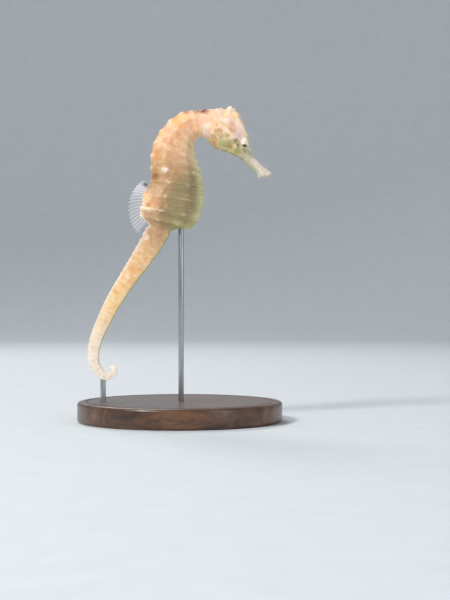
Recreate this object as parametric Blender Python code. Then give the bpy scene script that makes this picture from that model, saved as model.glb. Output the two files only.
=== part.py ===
"""A life-size still model of a spotted seahorse, held by two rods on a round base.

Metres, +Z up.  The animal lies in the plane y = 0, faces +X, and its right side
is toward -Y.  The origin is the middle of the base's underside.
"""
from math import ceil, cos, pi, radians, sin

import bmesh
import bpy
import numpy as np
from mathutils import Matrix, Vector

MM = 0.001
GAP = 0.3 * MM                  # clearance between neighbouring solids
SHARP_EDGE = radians(40)        # edges that turn more than this stay sharp

# ---------------------------------------------------------------- body sizes
# Sections across the body from the mouth to the tip of the tail.  Ring counts
# the bony rings: the head is below 0, the trunk 0 to 11, the tail 11 to 47.
# Heading is the way to the tail, in degrees from +X toward +Z.  Sizes in mm.
SECTIONS = (
    # name, ring, x, z, heading, depth back to belly, width side to side
    ("mouth", -7.25, 41.1, 110.9, 150, 1.6, 2.2),
    ("lips", -6.95, 39.6, 110.9, 145, 3.5, 3.7),
    ("chin", -6.5, 37.4, 111.4, 141, 5.3, 4.2),
    ("snout_front", -6.1, 35.9, 113.0, 137, 4.6, 3.9),
    ("snout_middle", -5.5, 33.6, 115.2, 136, 4.5, 3.8),
    ("snout_root", -4.75, 31.0, 117.7, 133, 5.1, 4.4),
    ("nose", -4.25, 29.6, 119.9, 130, 6.7, 5.6),
    ("eyes", -3.75, 28.2, 122.3, 130, 9.1, 7.0),
    ("brow", -3.25, 26.4, 124.7, 134, 11.9, 8.0),
    ("cheek", -2.5, 23.7, 127.7, 141, 16.1, 9.2),
    ("crown", -1.75, 21.0, 130.7, 146, 19.3, 9.2),
    ("nape", -0.75, 16.6, 133.0, 153, 16.6, 8.6),
    ("collar", 0.0, 12.7, 134.0, 166, 13.6, 8.4),
    ("neck", 1.0, 8.2, 133.6, 185, 12.9, 8.4),
    ("low_neck", 2.0, 3.9, 132.2, 207, 14.1, 9.0),
    ("shoulder", 3.0, 0.3, 128.0, 229, 16.5, 10.8),
    ("chest", 4.0, -1.6, 122.3, 244, 20.2, 13.2),
    ("mid_trunk", 5.25, -1.9, 115.2, 257, 22.5, 14.6),
    ("waist", 6.5, -1.1, 108.2, 262, 23.2, 15.0),
    ("fin_front", 7.1, -1.2, 105.1, 263, 23.7, 15.0),
    ("belly", 8.0, -2.7, 100.7, 263, 26.9, 15.2),
    ("hump", 9.25, -4.0, 94.5, 261, 26.0, 14.8),
    ("belly_end", 10.4, -6.5, 89.3, 256, 21.9, 12.4),
    ("vent", 11.0, -8.5, 86.6, 257, 10.7, 9.8),
    ("tail_start", 11.5, -9.9, 84.8, 248, 10.4, 9.3),
    ("tail_root", 12.75, -12.2, 80.8, 239, 10.1, 8.8),
    ("tail_upper", 15.5, -17.3, 72.8, 236, 9.1, 8.0),
    ("tail_half", 19.5, -23.2, 64.2, 236, 7.8, 7.1),
    ("tail_thin", 24.0, -29.0, 55.0, 239, 7.1, 6.3),
    ("tail_bow", 29.0, -34.2, 45.0, 245, 6.2, 5.4),
    ("tail_low", 34.0, -38.1, 35.3, 257, 5.35, 4.6),
    ("bend", 37.0, -38.9, 29.0, 270, 4.9, 4.3),
    ("bend_low", 39.25, -38.0, 24.6, 292, 4.4, 4.0),
    ("bend_foot", 40.75, -36.0, 21.7, 318, 4.2, 3.7),
    ("curl", 42.25, -33.1, 20.2, 354, 3.7, 3.4),
    ("curl_rise", 43.5, -30.7, 20.7, 392, 3.2, 2.9),
    ("curl_side", 44.75, -29.5, 22.7, 430, 2.6, 2.3),
    ("curl_top", 45.75, -29.9, 24.2, 484, 2.0, 1.8),
    ("tip", 47.0, -31.9, 24.3, 546, 1.0, 0.9),
)

# Half outlines of a section, from the middle of the back down the right side
# to the keel: (share of the depth, share of the half width).
HEAD_FORM = ((0, 0), (.03, .30), (.13, .56), (.30, .80), (.52, 1), (.72, .95), (.88, .66), (.97, .33), (1, 0))
TRUNK_FORM = ((.03, 0), (.01, .22), (0, .45), (.14, .76), (.31, 1), (.52, .90), (.74, .70), (.90, .36), (1, 0))
TAIL_FORM = ((.06, 0), (.02, .42), (0, .84), (.24, .90), (.5, .92), (.76, .84), (.98, .74), (.97, .37), (.95, 0))
HALF = len(HEAD_FORM) - 1       # steps from back to keel
AROUND = 2 * HALF               # points around a section

COLLAR_RING = 0
VENT_RING = 11
TAIL_TIP_RING = 47
HEAD_TO_TRUNK = (-0.5, 2.0)     # rings over which one outline turns into the next
TRUNK_TO_TAIL = (9.8, 11.8)
# Where the bony rings stand up: 11 on the trunk, then the tail's, which start
# under the fin.  Between two crests lies a groove.
CRESTS = (-0.5, 0.5, 1.25, 2.0, 2.8, 3.5, 4.25, 5.05, 5.9, 6.9, 8.2, 9.5, 10.4, *(k + 0.5 for k in range(11, 48)))
GROOVE_DEPTH = 0.28             # how far the grooves between rings lie in, mm
KNOB_HEIGHT = 0.45              # how far the knobs on the ridges stand out, mm
FULL_RELIEF_DEPTH = 20.0        # the relief shrinks where the body is less deep
RELIEF_RISES = (0, 1.5)         # rings over which it begins behind the head
RELIEF_FADES = (38, 47)         # and dies away toward the tip of the tail
TRUNK_RIDGES = (2, 4, 6)        # section points that carry knobs
TAIL_RIDGES = (2, 6)

# Single spines: ring, section point, height and reach in mm.  A point other
# than 0 or 8 gives a pair, one on each side.
SPINES = {
    "nose": (-4.25, 0, 0.9, 0.9),
    "brow": (-3.25, 1, 0.8, 1.1),
    "cheek": (-3.25, 7, 0.6, 0.9),
    "chin": (-6.5, 8, 0.4, 0.8),
    "nape_front": (-0.5, 0, 0.6, 0.9),
    "nape_rear": (0.5, 0, 0.5, 0.9),
}

SHORTEST_STEP = 0.3             # no loop lies nearer to a cut than this share of a step

# Lengths of the body, each its own solid: first ring, last ring, and loops to a
# ring on the head or to a crest behind it.
LENGTHS = {
    "mouth": (-7.25, -6.5, 8),
    "snout": (-6.5, -4.75, 4),
    "head": (-4.75, 0, 4),
    "neck": (0, 3, 4),
    "trunk_upper": (3, 7, 4),
    "trunk_lower": (7, 11, 4),
    "tail_base": (11, 19, 2),
    "tail_middle": (19, 28, 2),
    "tail_lower": (28, 36, 2),
    "tail_curl": (36, 47, 2),
}

# ------------------------------------------------------------- head and fins
EYE_PLACE = (29.0, 2.75, 123.8)         # the left eye; the right one mirrors it
EYE_HALF_SIZE = (2.2, 1.9, 2.2)
GILL_PLACE = (19.9, 3.35, 126.2)
GILL_HALF_SIZE = (5.0, 1.9, 3.2)
GILL_TILT = 20
CORONET_PLACE = (22.9, 0, 139.0)        # middle of its foot, inside the head
CORONET_TILT = 20                       # degrees forward from upright
CORONET_POINTS = 5
CORONET_RADIUS = 1.7
CORONET_HEIGHT = 2.6
CORONET_NOTCH = 0.8                     # how far the gaps between points and the dish lie down
CORONET_WAIST = 0.8                     # radius between two points, as a share of theirs
CORONET_FLARE = 0.9                     # radius at the foot, as a share of the rim's

FIN_THICKNESS = 0.6
FIN_STEPS = 17
DORSAL_BASE = ((-13.0, 105.2), (-13.6, 90.6))
DORSAL_RAYS = (138, 228)                # directions of the first and last ray
DORSAL_LENGTHS = (4.8, 10.3, 8.6)       # first, middle and last ray
PECTORAL_BASE = ((14.8, 131.6), (15.4, 128.0))
PECTORAL_RAYS = (126, 214)
PECTORAL_LENGTHS = (3.4, 5.0, 3.6)
PECTORAL_ROOT_Y = 3.6
PECTORAL_SPREAD = 24                    # degrees out from the neck
ANAL_BASE = ((-1.6, 85.8), (-3.4, 85.2))
ANAL_RAYS = (262, 248)
ANAL_LENGTHS = (2.0, 2.5, 2.0)

# --------------------------------------------------------------------- stand
BASE_RADIUS = 46.0
BASE_HEIGHT = 9.0
BASE_EDGE = 1.5
BASE_CORNERS = 64
ROD_RADIUS = 1.2
ROD_CORNERS = 16
ROD_SINK = 5.0                          # how deep a rod stands in the base
BELLY_ROD = (0.5, 89.5)                 # x, and height of the rod's top
TAIL_ROD = (-34.6, 21.2)

RINGS = np.array([row[1] for row in SECTIONS])
SIZES = np.array([row[2:] for row in SECTIONS], float)


def slopes():
    """Slope of each size at each section, from its two neighbours."""
    steps = np.diff(RINGS)[:, None]
    runs = np.diff(SIZES, axis=0) / steps
    inner = (runs[:-1] * steps[1:] + runs[1:] * steps[:-1]) / (steps[:-1] + steps[1:])
    return np.vstack([runs[:1], inner, runs[-1:]])


SLOPES = slopes()


def sizes_at(ring):
    """Sizes of the section at any ring, on a smooth curve through SECTIONS."""
    row = int(np.clip(np.searchsorted(RINGS, ring) - 1, 0, len(RINGS) - 2))
    span = RINGS[row + 1] - RINGS[row]
    t = (ring - RINGS[row]) / span
    start = (1 + 2 * t) * (1 - t) ** 2 * SIZES[row] + t * (1 - t) ** 2 * span * SLOPES[row]
    end = t * t * (3 - 2 * t) * SIZES[row + 1] + t * t * (t - 1) * span * SLOPES[row + 1]
    return start + end


def ramp(value, low, high):
    """0 below low, 1 above high, smooth between."""
    t = min(max((value - low) / (high - low), 0.0), 1.0)
    return t * t * (3 - 2 * t)


def section_form(ring):
    """Half outline at a ring: the head's turns into the trunk's, then the tail's."""
    to_trunk = ramp(ring, *HEAD_TO_TRUNK)
    to_tail = ramp(ring, *TRUNK_TO_TAIL)
    head, trunk, tail = (np.array(form) for form in (HEAD_FORM, TRUNK_FORM, TAIL_FORM))
    body = head + (trunk - head) * to_trunk
    return body + (tail - body) * to_tail


def crest_number(ring):
    """Counts the crests along the body: a whole number on each one."""
    return float(np.interp(ring, CRESTS, range(len(CRESTS))))


def relief(ring, point):
    """How far the surface stands out at a section point, in mm."""
    x, z, _, depth, _ = sizes_at(ring)
    height = 0.0
    if ring > COLLAR_RING:
        fade = ramp(ring, *RELIEF_RISES) * (1 - ramp(ring, *RELIEF_FADES))
        crest = 0.5 + 0.5 * cos(2 * pi * crest_number(ring))
        ridges = TRUNK_RIDGES if ring < VENT_RING else TAIL_RIDGES
        fade *= min(1.0, depth / FULL_RELIEF_DEPTH)
        height += fade * (KNOB_HEIGHT * crest ** 2 * (point in ridges) - GROOVE_DEPTH * (1 - crest))
    for spine_ring, spine_point, spine_height, reach in SPINES.values():
        if point == spine_point:
            away = np.linalg.norm((x, z) - sizes_at(spine_ring)[:2]) / reach
            height += spine_height * max(0.0, 1 - away)
    return height


def section_loop(ring, grow=0.0, shift=0.0):
    """Points around the body at a ring, in metres, grown and moved along it."""
    x, z, heading, depth, width = sizes_at(ring)
    along = Vector((cos(radians(heading)), 0, sin(radians(heading))))
    back = Vector((along.z, 0, -along.x))
    centre = Vector((x, 0, z)) * MM + along * shift
    form = section_form(ring)
    loop = []
    for step in range(AROUND):
        point = step if step <= HALF else AROUND - step
        side = -1 if step <= HALF else 1
        share_down, share_out = form[point]
        offset = back * ((0.5 - share_down) * depth) + Vector((0, side * share_out * width / 2, 0))
        reach = offset.length + relief(ring, point)
        loop.append(centre + offset.normalized() * (reach * MM + grow))
    return loop


def loop_rings(first, last, detail):
    """Rings of the loops of a length: even on the head, and by the crests behind it."""
    if last <= COLLAR_RING:
        return list(np.linspace(first, last, round((last - first) * detail) + 1))
    start, end = (round(crest_number(ring) * detail, 3) for ring in (first, last))
    inner = range(int(start) + 1, ceil(end))
    steps = [step for step in inner if start + SHORTEST_STEP < step < end - SHORTEST_STEP]
    return [first, *np.interp([step / detail for step in steps], range(len(CRESTS)), CRESTS), last]


def body_length(first, last, detail, grow=0.0):
    """Closed solid of the body between two rings, half a gap short at each cut."""
    rings = loop_rings(first, last, detail)
    inset = GAP / 2 - grow
    shifts = [inset, *[0.0] * (len(rings) - 2), -inset]
    loops = [section_loop(ring, grow, shift) for ring, shift in zip(rings, shifts)]
    bm = bmesh.new()
    rows = [[bm.verts.new(point) for point in loop] for loop in loops]
    for near, far in zip(rows, rows[1:]):
        for step in range(AROUND):
            after = (step + 1) % AROUND
            bm.faces.new((near[step], near[after], far[after], far[step]))
    bm.faces.new(rows[0])
    bm.faces.new(rows[-1])
    return bm


def fan(base, rays, lengths, grow=0.0):
    """Flat fan in the plane y = 0: rays spread from a short base line."""
    top, bottom = (Vector((x, 0, z)) * MM for x, z in base)
    first, middle, last = lengths
    tips = []
    for step in range(FIN_STEPS):
        t = step / (FIN_STEPS - 1)
        length = first * (1 - t) * (1 - 2 * t) + middle * 4 * t * (1 - t) + last * t * (2 * t - 1)
        angle = radians(rays[0] + (rays[1] - rays[0]) * t)
        tips.append(top.lerp(bottom, t) + Vector((cos(angle), 0, sin(angle))) * length * MM)
    bm = bmesh.new()
    outline = [bm.verts.new(point) for point in (bottom, top, *tips)]
    face = bm.faces.new(outline)
    bmesh.ops.translate(bm, verts=bm.verts, vec=(0, -FIN_THICKNESS / 2 * MM, 0))
    made = bmesh.ops.extrude_face_region(bm, geom=[face])
    moved = [item for item in made["geom"] if isinstance(item, bmesh.types.BMVert)]
    bmesh.ops.translate(bm, verts=moved, vec=(0, FIN_THICKNESS * MM, 0))
    return bm


def ellipsoid(half_size, grow=0.0):
    bm = bmesh.new()
    bmesh.ops.create_uvsphere(bm, u_segments=16, v_segments=10, radius=1)
    bmesh.ops.scale(bm, vec=[size * MM + grow for size in half_size], verts=bm.verts)
    return bm


def crown(grow=0.0):
    """Low crown of five blunt points around a shallow dish."""
    bm = bmesh.new()
    corners = 2 * CORONET_POINTS
    height = CORONET_HEIGHT * MM + grow
    foot, rim = [], []
    for step in range(corners):
        turn = 2 * pi * step / corners
        pointed = step % 2 == 0
        radius = CORONET_RADIUS * MM * (1.0 if pointed else CORONET_WAIST) + grow
        drop = 0.0 if pointed else CORONET_NOTCH * MM
        foot_radius = radius * CORONET_FLARE
        foot.append(bm.verts.new((cos(turn) * foot_radius, sin(turn) * foot_radius, -grow)))
        rim.append(bm.verts.new((cos(turn) * radius, sin(turn) * radius, height - drop)))
    dish = bm.verts.new((0, 0, height - CORONET_NOTCH * MM))
    bm.faces.new(foot)
    for step in range(corners):
        after = (step + 1) % corners
        bm.faces.new((foot[step], foot[after], rim[after], rim[step]))
        bm.faces.new((rim[step], rim[after], dish))
    return bm


def cylinder(radius, bottom, top, corners):
    bm = bmesh.new()
    bmesh.ops.create_cone(bm, cap_ends=True, segments=corners, radius1=radius * MM,
                          radius2=radius * MM, depth=(top - bottom) * MM)
    bmesh.ops.translate(bm, verts=bm.verts, vec=(0, 0, (top + bottom) / 2 * MM))
    return bm


# ------------------------------------------------------------------- objects
def material(name, colour, roughness, metallic=0.0, alpha=1.0):
    made = bpy.data.materials.new(name)
    made.use_nodes = True
    shader = made.node_tree.nodes["Principled BSDF"]
    shader.inputs["Base Color"].default_value = (*colour, 1)
    shader.inputs["Roughness"].default_value = roughness
    shader.inputs["Metallic"].default_value = metallic
    shader.inputs["Alpha"].default_value = alpha
    return made


def put(name, bm, look, matrix=None, smooth=True):
    """Turn a bmesh into a named object; a look of None makes a hidden cutter."""
    bmesh.ops.recalc_face_normals(bm, faces=bm.faces)
    mesh = bpy.data.meshes.new(name)
    bm.to_mesh(mesh)
    bm.free()
    body = bpy.data.objects.new(name, mesh)
    bpy.context.scene.collection.objects.link(body)
    if matrix is not None:
        body.matrix_world = matrix
    if look is None:
        body.hide_render = True
        body.display_type = "WIRE"
    else:
        mesh.materials.append(look)
        if smooth:
            mesh.shade_smooth()
            mesh.set_sharp_from_angle(angle=SHARP_EDGE)
    return body


def cut(target, cutter):
    hole = target.modifiers.new("cut_" + cutter.name, "BOOLEAN")
    hole.operation = "DIFFERENCE"
    hole.solver = "EXACT"
    hole.object = cutter


def mirrored_places(place):
    """Matrices for a piece's right (-Y) and left (+Y) places."""
    x, y, z = (size * MM for size in place)
    return (("right", Matrix.Translation((x, -y, z))), ("left", Matrix.Translation((x, y, z))))


def build_body():
    looks = {
        "mouth": (0.78, 0.66, 0.58), "snout": (0.74, 0.64, 0.56), "head": (0.84, 0.66, 0.48),
        "neck": (0.86, 0.58, 0.44), "trunk_upper": (0.82, 0.53, 0.32), "trunk_lower": (0.60, 0.46, 0.26),
        "tail_base": (0.80, 0.58, 0.36), "tail_middle": (0.86, 0.62, 0.34),
        "tail_lower": (0.88, 0.66, 0.42), "tail_curl": (0.88, 0.70, 0.58),
    }
    body = {}
    for name, length in LENGTHS.items():
        skin = material(name + "_skin", looks[name], 0.5)
        body[name] = put(name, body_length(*length), skin)
    return body


def build_head_pieces(head):
    eye_look = material("eye_glass", (0.72, 0.66, 0.50), 0.1)
    for side, place in mirrored_places(EYE_PLACE):
        put("eye_" + side, ellipsoid(EYE_HALF_SIZE), eye_look, place)
        cut(head, put("orbit_" + side, ellipsoid(EYE_HALF_SIZE, GAP), None, place))
    gill_look = material("gill_cover_skin", (0.66, 0.56, 0.30), 0.45)
    tilt = Matrix.Rotation(radians(GILL_TILT), 4, "Y")
    for side, place in mirrored_places(GILL_PLACE):
        put("gill_cover_" + side, ellipsoid(GILL_HALF_SIZE), gill_look, place @ tilt)
        cut(head, put("gill_seat_" + side, ellipsoid(GILL_HALF_SIZE, GAP), None, place @ tilt))
    coronet_look = material("coronet_skin", (0.80, 0.68, 0.46), 0.5)
    x, y, z = (size * MM for size in CORONET_PLACE)
    place = Matrix.Translation((x, y, z)) @ Matrix.Rotation(radians(CORONET_TILT), 4, "Y")
    put("coronet", crown(), coronet_look, place, smooth=False)
    cut(head, put("coronet_seat", crown(GAP), None, place))


def build_fins():
    """Fins stop a gap short of the body, which is grown by that gap to trim them."""
    fin_look = material("fin_membrane", (0.62, 0.68, 0.76), 0.3, alpha=0.45)
    trims = {}
    for name in ("head", "neck", "trunk_lower", "tail_base"):
        trims[name] = put(name + "_trim", body_length(*LENGTHS[name], grow=GAP), None)
    dorsal = put("dorsal_fin", fan(DORSAL_BASE, DORSAL_RAYS, DORSAL_LENGTHS), fin_look)
    anal = put("anal_fin", fan(ANAL_BASE, ANAL_RAYS, ANAL_LENGTHS), fin_look)
    for fin in (dorsal, anal):
        cut(fin, trims["trunk_lower"])
        cut(fin, trims["tail_base"])
    hinge_x = sum(x for x, z in PECTORAL_BASE) / 2
    to_hinge = Matrix.Translation((hinge_x * MM, 0, 0))
    for side, out in (("right", -1), ("left", 1)):
        spread = Matrix.Rotation(radians(-out * PECTORAL_SPREAD), 4, "Z")
        root = Matrix.Translation((0, out * PECTORAL_ROOT_Y * MM, 0))
        place = root @ to_hinge @ spread @ to_hinge.inverted()
        fin = put("pectoral_fin_" + side, fan(PECTORAL_BASE, PECTORAL_RAYS, PECTORAL_LENGTHS), fin_look, place)
        cut(fin, trims["head"])
        cut(fin, trims["neck"])


def build_stand(body):
    wood = material("stand_wood", (0.10, 0.055, 0.03), 0.4)
    steel = material("stand_steel", (0.62, 0.62, 0.60), 0.3, metallic=1.0)
    base = put("stand_base", cylinder(BASE_RADIUS, 0, BASE_HEIGHT, BASE_CORNERS), wood)
    edge = base.modifiers.new("rounded_edge", "BEVEL")
    edge.width = BASE_EDGE * MM
    edge.segments = 2
    edge.limit_method = "ANGLE"
    edge.angle_limit = SHARP_EDGE
    foot = BASE_HEIGHT - ROD_SINK
    for name, (x, top), held in (("stand_rod_belly", BELLY_ROD, "trunk_lower"),
                                 ("stand_rod_tail", TAIL_ROD, "tail_curl")):
        place = Matrix.Translation((x * MM, 0, 0))
        put(name, cylinder(ROD_RADIUS, foot, top, ROD_CORNERS), steel, place)
        gap = GAP / MM
        socket = cylinder(ROD_RADIUS + gap, foot - gap, top + gap, ROD_CORNERS)
        hole = put(name + "_socket", socket, None, place)
        cut(base, hole)
        cut(body[held], hole)


def main():
    for thing in list(bpy.data.objects):
        bpy.data.objects.remove(thing, do_unlink=True)
    body = build_body()
    build_head_pieces(body["head"])
    build_fins()
    build_stand(body)
    bpy.context.view_layer.update()


main()
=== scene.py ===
"""Looks of a life-size spotted seahorse model, held by two steel rods on a turned wooden base."""

from collections import namedtuple
from math import cos, pi, radians, sin

import bpy
import numpy as np
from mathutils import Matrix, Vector


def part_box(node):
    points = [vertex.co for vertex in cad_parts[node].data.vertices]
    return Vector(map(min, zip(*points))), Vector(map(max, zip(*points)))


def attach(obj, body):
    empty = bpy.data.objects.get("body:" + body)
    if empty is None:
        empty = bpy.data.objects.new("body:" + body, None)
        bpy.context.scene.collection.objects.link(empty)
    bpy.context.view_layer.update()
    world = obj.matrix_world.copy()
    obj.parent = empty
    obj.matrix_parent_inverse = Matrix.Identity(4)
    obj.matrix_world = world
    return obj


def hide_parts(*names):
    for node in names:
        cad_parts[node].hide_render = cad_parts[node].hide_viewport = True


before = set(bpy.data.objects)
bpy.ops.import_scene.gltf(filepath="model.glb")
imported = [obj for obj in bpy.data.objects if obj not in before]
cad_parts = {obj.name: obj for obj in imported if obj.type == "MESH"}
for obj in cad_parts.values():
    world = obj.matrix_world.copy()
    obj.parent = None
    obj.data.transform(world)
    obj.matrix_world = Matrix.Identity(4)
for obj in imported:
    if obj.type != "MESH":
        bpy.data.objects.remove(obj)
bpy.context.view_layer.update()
MM = 0.001

# ---------------------------------------------------------------- body sizes
# Sections across the body, as the solids have them.  Ring counts the bony
# rings: the head is below 0, the trunk 0 to 11, the tail 11 to 47.  Heading is
# the way to the tail, in degrees from +X toward +Z.  Sizes are in mm.
SECTIONS = (
    # name, ring, x, z, heading, depth back to belly, width side to side
    ("mouth", -7.25, 41.1, 110.9, 150, 1.6, 2.2),
    ("lips", -6.95, 39.6, 110.9, 145, 3.5, 3.7),
    ("chin", -6.5, 37.4, 111.4, 141, 5.3, 4.2),
    ("snout_front", -6.1, 35.9, 113.0, 137, 4.6, 3.9),
    ("snout_middle", -5.5, 33.6, 115.2, 136, 4.5, 3.8),
    ("snout_root", -4.75, 31.0, 117.7, 133, 5.1, 4.4),
    ("nose", -4.25, 29.6, 119.9, 130, 6.7, 5.6),
    ("eyes", -3.75, 28.2, 122.3, 130, 9.1, 7.0),
    ("brow", -3.25, 26.4, 124.7, 134, 11.9, 8.0),
    ("cheek", -2.5, 23.7, 127.7, 141, 16.1, 9.2),
    ("crown", -1.75, 21.0, 130.7, 146, 19.3, 9.2),
    ("nape", -0.75, 16.6, 133.0, 153, 16.6, 8.6),
    ("collar", 0.0, 12.7, 134.0, 166, 13.6, 8.4),
    ("neck", 1.0, 8.2, 133.6, 185, 12.9, 8.4),
    ("low_neck", 2.0, 3.9, 132.2, 207, 14.1, 9.0),
    ("shoulder", 3.0, 0.3, 128.0, 229, 16.5, 10.8),
    ("chest", 4.0, -1.6, 122.3, 244, 20.2, 13.2),
    ("mid_trunk", 5.25, -1.9, 115.2, 257, 22.5, 14.6),
    ("waist", 6.5, -1.1, 108.2, 262, 23.2, 15.0),
    ("fin_front", 7.1, -1.2, 105.1, 263, 23.7, 15.0),
    ("belly", 8.0, -2.7, 100.7, 263, 26.9, 15.2),
    ("hump", 9.25, -4.0, 94.5, 261, 26.0, 14.8),
    ("belly_end", 10.4, -6.5, 89.3, 256, 21.9, 12.4),
    ("vent", 11.0, -8.5, 86.6, 257, 10.7, 9.8),
    ("tail_start", 11.5, -9.9, 84.8, 248, 10.4, 9.3),
    ("tail_root", 12.75, -12.2, 80.8, 239, 10.1, 8.8),
    ("tail_upper", 15.5, -17.3, 72.8, 236, 9.1, 8.0),
    ("tail_half", 19.5, -23.2, 64.2, 236, 7.8, 7.1),
    ("tail_thin", 24.0, -29.0, 55.0, 239, 7.1, 6.3),
    ("tail_bow", 29.0, -34.2, 45.0, 245, 6.2, 5.4),
    ("tail_low", 34.0, -38.1, 35.3, 257, 5.35, 4.6),
    ("bend", 37.0, -38.9, 29.0, 270, 4.9, 4.3),
    ("bend_low", 39.25, -38.0, 24.6, 292, 4.4, 4.0),
    ("bend_foot", 40.75, -36.0, 21.7, 318, 4.2, 3.7),
    ("curl", 42.25, -33.1, 20.2, 354, 3.7, 3.4),
    ("curl_rise", 43.5, -30.7, 20.7, 392, 3.2, 2.9),
    ("curl_side", 44.75, -29.5, 22.7, 430, 2.6, 2.3),
    ("curl_top", 45.75, -29.9, 24.2, 484, 2.0, 1.8),
    ("tip", 47.0, -31.9, 24.3, 546, 1.0, 0.9),
)
RINGS = np.array([row[1] for row in SECTIONS])
SIZES = np.array([row[2:] for row in SECTIONS], float)
COLLAR, VENT, TAIL_TIP = 0.0, 11.0, 47.0

# Half outlines of a section, from the middle of the back down the side to the
# keel: (share of the depth, share of the half width).  Girth counts the steps:
# 0 is the back, 2 the upper ridge, 4 the side ridge, 6 the lower one, 8 the keel.
HEAD_FORM = ((0, 0), (.03, .30), (.13, .56), (.30, .80), (.52, 1),
             (.72, .95), (.88, .66), (.97, .33), (1, 0))
TRUNK_FORM = ((.03, 0), (.01, .22), (0, .45), (.14, .76), (.31, 1),
              (.52, .90), (.74, .70), (.90, .36), (1, 0))
TAIL_FORM = ((.06, 0), (.02, .42), (0, .84), (.24, .90), (.5, .92),
             (.76, .84), (.98, .74), (.97, .37), (.95, 0))
HALF = len(HEAD_FORM) - 1
SIDE_RIDGE = 4
RIDGES = (2, SIDE_RIDGE, 6)

# Rings where the bony ridges across the body stand up: one ahead of the lips that never shows, one on the
# nape, 12 from the collar to the vent, then one to each ring of the tail.
CRESTS = np.array([-9.0, -0.5, 0.5, 1.25, 2.0, 2.8, 3.5, 4.25, 5.05, 5.9, 6.9, 8.2, 9.5, 10.4,
                   *np.arange(11.5, 49)])
WHITE_CREST = 9                 # the crest whose side knob is white
FIN_RIB = 9.5                   # the ring whose rib runs down from the dorsal fin

# Loops of the straight tube: (last ring, rings from one loop to the next) from the lips on.
TUBE_STEPS = ((COLLAR, 0.145), (VENT, 0.2), (TAIL_TIP, 0.5))
# Loops that close it inside the mouth and at the tail's tip: (ring, share of the section).
MOUTH_LOOPS = ((-6.8, .15), (-6.95, .35), (-7.1, .55), (-7.22, .74), (-7.28, .9))
TIP_LOOPS = ((47.12, .9), (47.25, .7), (47.33, .4))
TUBE_AROUND = 32
TUBE_SPLITS = 2                 # each face becomes 4, twice
INSET = 0.12                    # how far the skin lies inside the solids, in mm
NUDGE = 0.05                    # how far to each side of a ring a slope is measured, in rings

SIDES = (("right", -1), ("left", 1))
EYE = (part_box("eye_left")[0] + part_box("eye_left")[1]) / 2 / MM
GILL = (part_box("gill_cover_left")[0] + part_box("gill_cover_left")[1]) / 2 / MM
GILL_HALF_LENGTH, GILL_HALF_HEIGHT, GILL_TILT = 5.0, 3.5, radians(22)


def hill(distance, reach):
    """1 at the middle, down to 0 at reach, smooth at both ends."""
    return np.clip(1 - (distance / reach) ** 2, 0, 1) ** 2


def rise(value, low, high):
    """0 below low, 1 above high, smooth between."""
    t = np.clip((value - low) / (high - low), 0, 1)
    return t * t * (3 - 2 * t)


def fall(value, low, high):
    """1 below low, 0 above high, smooth between."""
    return 1 - rise(value, low, high)


def bump(distance, reach):
    """A soft round hill: 1 in the middle and about a third at reach."""
    return np.exp(-(distance / reach) ** 2)


def slopes():
    """How fast each size changes from ring to ring, at each section."""
    steps = np.diff(RINGS)[:, None]
    runs = np.diff(SIZES, axis=0) / steps
    inner = (runs[:-1] * steps[1:] + runs[1:] * steps[:-1]) / (steps[:-1] + steps[1:])
    return np.vstack([runs[:1], inner, runs[-1:]])


SLOPES = slopes()


def sizes_at(ring):
    """Sizes of the sections at these rings, on a smooth curve through SECTIONS."""
    ring = np.atleast_1d(ring)
    row = np.clip(np.searchsorted(RINGS, ring) - 1, 0, len(RINGS) - 2)
    span = (RINGS[row + 1] - RINGS[row])[:, None]
    t = (ring - RINGS[row])[:, None] / span
    start = (1 + 2 * t) * (1 - t) ** 2 * SIZES[row] + t * (1 - t) ** 2 * span * SLOPES[row]
    end = t * t * (3 - 2 * t) * SIZES[row + 1] + t * t * (t - 1) * span * SLOPES[row + 1]
    return start + end


def on_outline(form, girth):
    """Smooth half outline: share of the depth and of the half width at each girth."""
    points = np.array(form, float)
    points = np.vstack((points[1:2] * (1, -1), points, points[-2:-1] * (1, -1)))
    step = np.clip(girth.astype(int), 0, HALF - 1)
    t = (girth - step)[:, None]
    before, here, after, beyond = (points[step + k] for k in range(4))
    return 0.5 * (2 * here + (after - before) * t + (2 * before - 5 * here + 4 * after - beyond) * t ** 2
                  + (3 * here - before - 3 * after + beyond) * t ** 3)


class Skin:
    """Every point of the skin by ring, girth, side and share of its section, with its place in mm."""

    def __init__(self, ring, girth, side, share):
        self.ring, self.girth, self.side, self.share = ring, girth, side, share
        x, z, heading, self.depth, width = sizes_at(ring).T
        turn = np.radians(heading)
        back = np.stack([np.sin(turn), 0 * turn, -np.cos(turn)], 1)
        to_trunk = rise(ring, -0.5, 2.0)[:, None]
        to_tail = rise(ring, 9.8, 11.8)[:, None]
        outline = on_outline(HEAD_FORM, girth) * (1 - to_trunk) + on_outline(TRUNK_FORM, girth) * to_trunk
        outline = outline * (1 - to_tail) + on_outline(TAIL_FORM, girth) * to_tail
        down, out = outline.T
        offset = back * ((0.5 - down) * self.depth)[:, None]
        offset[:, 1] += side * out * width / 2
        self.place = np.stack([x, 0 * x, z], 1) + offset * share[:, None]
        run = sizes_at(ring + NUDGE) - sizes_at(ring - NUDGE)
        self.ring_length = np.hypot(*run[:, :2].T) / (2 * NUDGE)
        self.girth_step = 0.098 * (self.depth + width)      # about 1/16 of the way round an oval


def crest_number(ring):
    """Counts the crests: a whole number on each one."""
    return np.interp(ring, CRESTS, np.arange(len(CRESTS)))


def from_crest(skin):
    """Distance from the nearest crest along the body, that crest's number, and the mm from crest to crest."""
    count = crest_number(skin.ring)
    passed = crest_number(skin.ring + NUDGE) - crest_number(skin.ring - NUDGE)
    spacing = skin.ring_length * 2 * NUDGE / passed
    return (count - np.round(count)) * spacing, np.round(count).astype(int), spacing


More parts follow.
